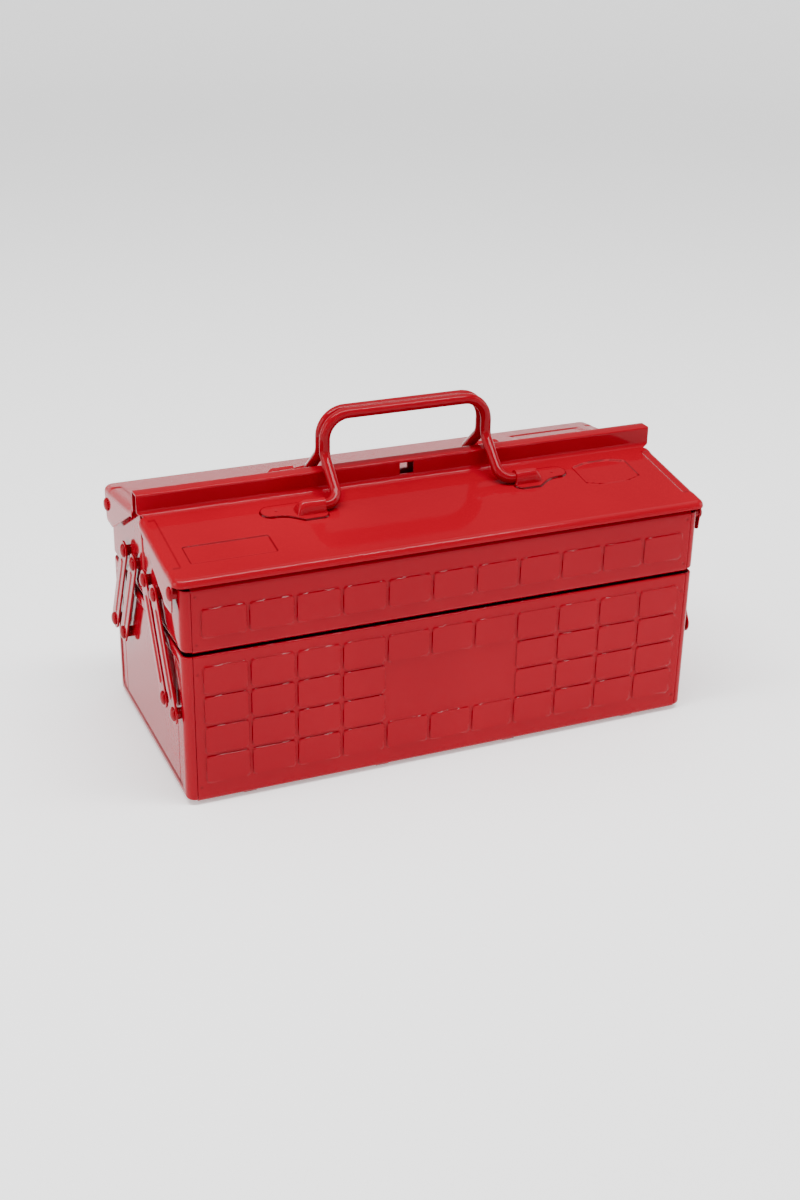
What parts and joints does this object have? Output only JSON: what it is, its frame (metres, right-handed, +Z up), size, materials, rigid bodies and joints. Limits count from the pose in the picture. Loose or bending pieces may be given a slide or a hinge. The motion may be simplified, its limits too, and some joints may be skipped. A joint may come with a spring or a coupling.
{
  "type": "toolbox with tray",
  "caption": "Red pressed-steel cantilever tool box with a deep base, swing-out trays on parallel arms, sloping lids and bail handles.",
  "frame": {"origin": "middle of the box's overall outline, on the surface it stands on", "axes": "+X along the box, +Y from front to rear, +Z up"},
  "size_m": [0.3626, 0.1686, 0.2169],
  "materials": {
    "red_sheet_paint": "gloss",
    "red_rod_paint": "gloss",
    "red_rivet_paint": "gloss"
  },
  "bodies": {
    "base": {"base_sheet": "red_sheet_paint", "base_end_left": "red_sheet_paint", "base_end_right": "red_sheet_paint", "front_inner_foot_rivet_left": "red_rivet_paint", "front_inner_foot_rivet_right": "red_rivet_paint", "front_outer_foot_rivet_left": "red_rivet_paint", "front_outer_foot_rivet_right": "red_rivet_paint", "rear_inner_foot_rivet_left": "red_rivet_paint", "rear_inner_foot_rivet_right": "red_rivet_paint", "rear_outer_foot_rivet_left": "red_rivet_paint", "rear_outer_foot_rivet_right": "red_rivet_paint"},
    "front_outer_arms": {"front_outer_arm_left": "red_sheet_paint", "front_outer_arm_right": "red_sheet_paint"},
    "front_inner_arms": {"front_inner_arm_left": "red_sheet_paint", "front_inner_arm_right": "red_sheet_paint"},
    "front_tray": {"front_tray_sheet": "red_sheet_paint", "front_tray_end_left": "red_sheet_paint", "front_tray_end_right": "red_sheet_paint", "front_inner_head_rivet_left": "red_rivet_paint", "front_outer_head_rivet_left": "red_rivet_paint", "front_lid_rivet_left": "red_rivet_paint", "front_inner_head_rivet_right": "red_rivet_paint", "front_outer_head_rivet_right": "red_rivet_paint", "front_lid_rivet_right": "red_rivet_paint"},
    "front_lid": {"front_lid": "red_sheet_paint", "front_handle_bracket_left": "red_sheet_paint", "front_handle_bracket_right": "red_sheet_paint"},
    "front_handle": {"front_handle": "red_rod_paint"},
    "rear_outer_arms": {"rear_outer_arm_left": "red_sheet_paint", "rear_outer_arm_right": "red_sheet_paint"},
    "rear_inner_arms": {"rear_inner_arm_left": "red_sheet_paint", "rear_inner_arm_right": "red_sheet_paint"},
    "rear_tray": {"rear_tray_sheet": "red_sheet_paint", "rear_tray_end_left": "red_sheet_paint", "rear_tray_end_right": "red_sheet_paint", "rear_inner_head_rivet_left": "red_rivet_paint", "rear_outer_head_rivet_left": "red_rivet_paint", "rear_lid_rivet_left": "red_rivet_paint", "rear_inner_head_rivet_right": "red_rivet_paint", "rear_outer_head_rivet_right": "red_rivet_paint", "rear_lid_rivet_right": "red_rivet_paint"},
    "rear_lid": {"rear_lid": "red_sheet_paint", "rear_handle_bracket_left": "red_sheet_paint", "rear_handle_bracket_right": "red_sheet_paint"},
    "rear_handle": {"rear_handle": "red_rod_paint"}
  },
  "joints": [
    {"name": "front_swing", "type": "hinge", "parent": "base", "child": "front_outer_arms", "pos_m": [0, -0.0706, 0.0602], "axis": [1, 0, 0], "range_deg": [0, 57]},
    {"name": "front_inner_swing", "type": "hinge", "parent": "base", "child": "front_inner_arms", "pos_m": [0, -0.0483, 0.0602], "axis": [1, 0, 0], "range_deg": [0, 57]},
    {"name": "front_tray_level", "type": "hinge", "parent": "front_outer_arms", "child": "front_tray", "pos_m": [0, -0.0354, 0.1245], "axis": [1, 0, 0], "range_deg": [-57, 0]},
    {"name": "front_lid_hinge", "type": "hinge", "parent": "front_tray", "child": "front_lid", "pos_m": [0, -0.0735, 0.1418], "axis": [1, 0, 0], "range_deg": [0, 70]},
    {"name": "front_handle_hinge", "type": "hinge", "parent": "front_lid", "child": "front_handle", "pos_m": [0, -0.029, 0.16472], "axis": [1, 0, 0], "range_deg": [0, 124]},
    {"name": "rear_swing", "type": "hinge", "parent": "base", "child": "rear_outer_arms", "pos_m": [0, 0.0706, 0.0602], "axis": [-1, 0, 0], "range_deg": [0, 57]},
    {"name": "rear_inner_swing", "type": "hinge", "parent": "base", "child": "rear_inner_arms", "pos_m": [0, 0.0483, 0.0602], "axis": [-1, 0, 0], "range_deg": [0, 57]},
    {"name": "rear_tray_level", "type": "hinge", "parent": "rear_outer_arms", "child": "rear_tray", "pos_m": [0, 0.0354, 0.1245], "axis": [-1, 0, 0], "range_deg": [-57, 0]},
    {"name": "rear_lid_hinge", "type": "hinge", "parent": "rear_tray", "child": "rear_lid", "pos_m": [0, 0.0735, 0.1418], "axis": [-1, 0, 0], "range_deg": [0, 70]},
    {"name": "rear_handle_hinge", "type": "hinge", "parent": "rear_lid", "child": "rear_handle", "pos_m": [0, 0.029, 0.16472], "axis": [-1, 0, 0], "range_deg": [0, 124]}
  ],
  "couplings": [
    {"joint": "front_inner_swing", "follows": "front_swing", "ratio": 1},
    {"joint": "front_tray_level", "follows": "front_swing", "ratio": -1},
    {"joint": "rear_inner_swing", "follows": "rear_swing", "ratio": 1},
    {"joint": "rear_tray_level", "follows": "rear_swing", "ratio": -1}
  ]
}
